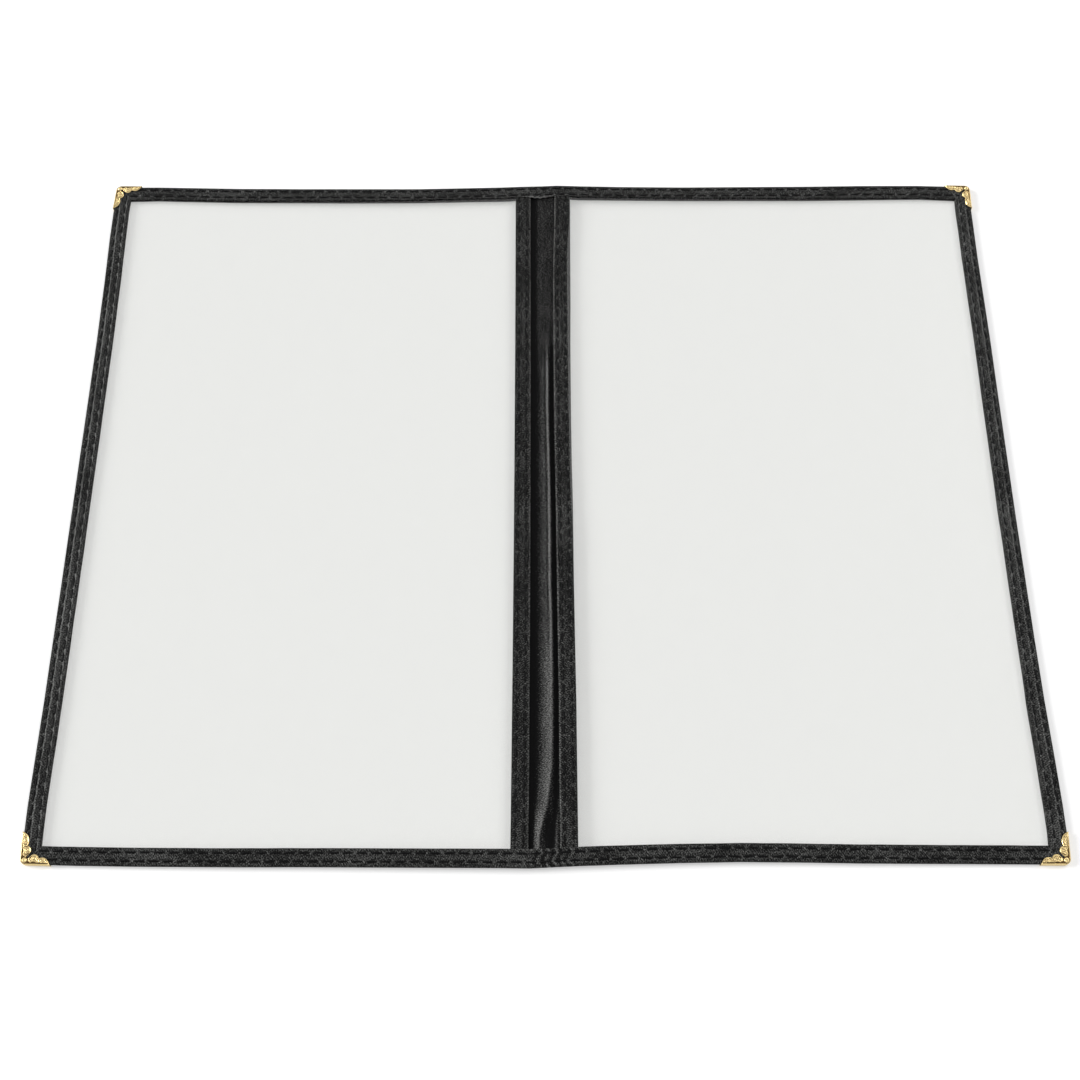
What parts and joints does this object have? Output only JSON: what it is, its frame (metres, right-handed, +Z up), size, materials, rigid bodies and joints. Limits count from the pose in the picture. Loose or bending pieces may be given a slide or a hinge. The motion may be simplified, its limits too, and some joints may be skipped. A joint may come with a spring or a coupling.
{
  "type": "menu cover",
  "caption": "Open two-page menu cover: clear page pockets with sewn black leatherette bindings, a limp spine that folds like a book, and brass corner guards.",
  "frame": {"origin": "centre of the open cover's footprint, on the surface that it lies on", "axes": "+X across the open cover to the right page, +Y up the page to its top edge, +Z up"},
  "size_m": [0.4708, 0.3748, 0.0044],
  "materials": {
    "clear_vinyl": "clear flexible vinyl sheet, glossy, slightly wavy",
    "black_leatherette": "black embossed leatherette binding tape with a fine slanting grain and a soft sheen",
    "black_spine_leatherette": "black soft leatherette of the spine, finer grain, slightly creased",
    "black_thread": "twisted black sewing thread",
    "brass": "bright stamped brass with a relief of scrolls and leaves"
  },
  "bodies": {
    "right_page": {"right_back_sheet": "clear_vinyl", "right_front_sheet": "clear_vinyl", "right_side_binding": "black_leatherette", "right_pocket_binding": "black_leatherette", "right_spine_facing": "black_spine_leatherette", "right_spine_backing": "black_spine_leatherette", "right_side_seam": "black_thread", "right_pocket_seam": "black_thread", "right_spine_seam": "black_thread", "right_top_binding": "black_leatherette", "right_bottom_binding": "black_leatherette", "right_top_corner_guard": "brass", "right_bottom_corner_guard": "brass", "right_top_seam": "black_thread", "right_bottom_seam": "black_thread"},
    "left_page": {"left_back_sheet": "clear_vinyl", "left_front_sheet": "clear_vinyl", "left_side_binding": "black_leatherette", "left_pocket_binding": "black_leatherette", "left_spine_facing": "black_spine_leatherette", "left_spine_backing": "black_spine_leatherette", "left_side_seam": "black_thread", "left_pocket_seam": "black_thread", "left_spine_seam": "black_thread", "left_top_binding": "black_leatherette", "left_bottom_binding": "black_leatherette", "left_top_corner_guard": "brass", "left_bottom_corner_guard": "brass", "left_top_seam": "black_thread", "left_bottom_seam": "black_thread"}
  },
  "joints": [
    {"name": "book_fold", "type": "hinge", "parent": "right_page", "child": "left_page", "pos_m": [0, 0, 0.0045], "axis": [0, 1, 0], "range_deg": [0, 180]}
  ]
}
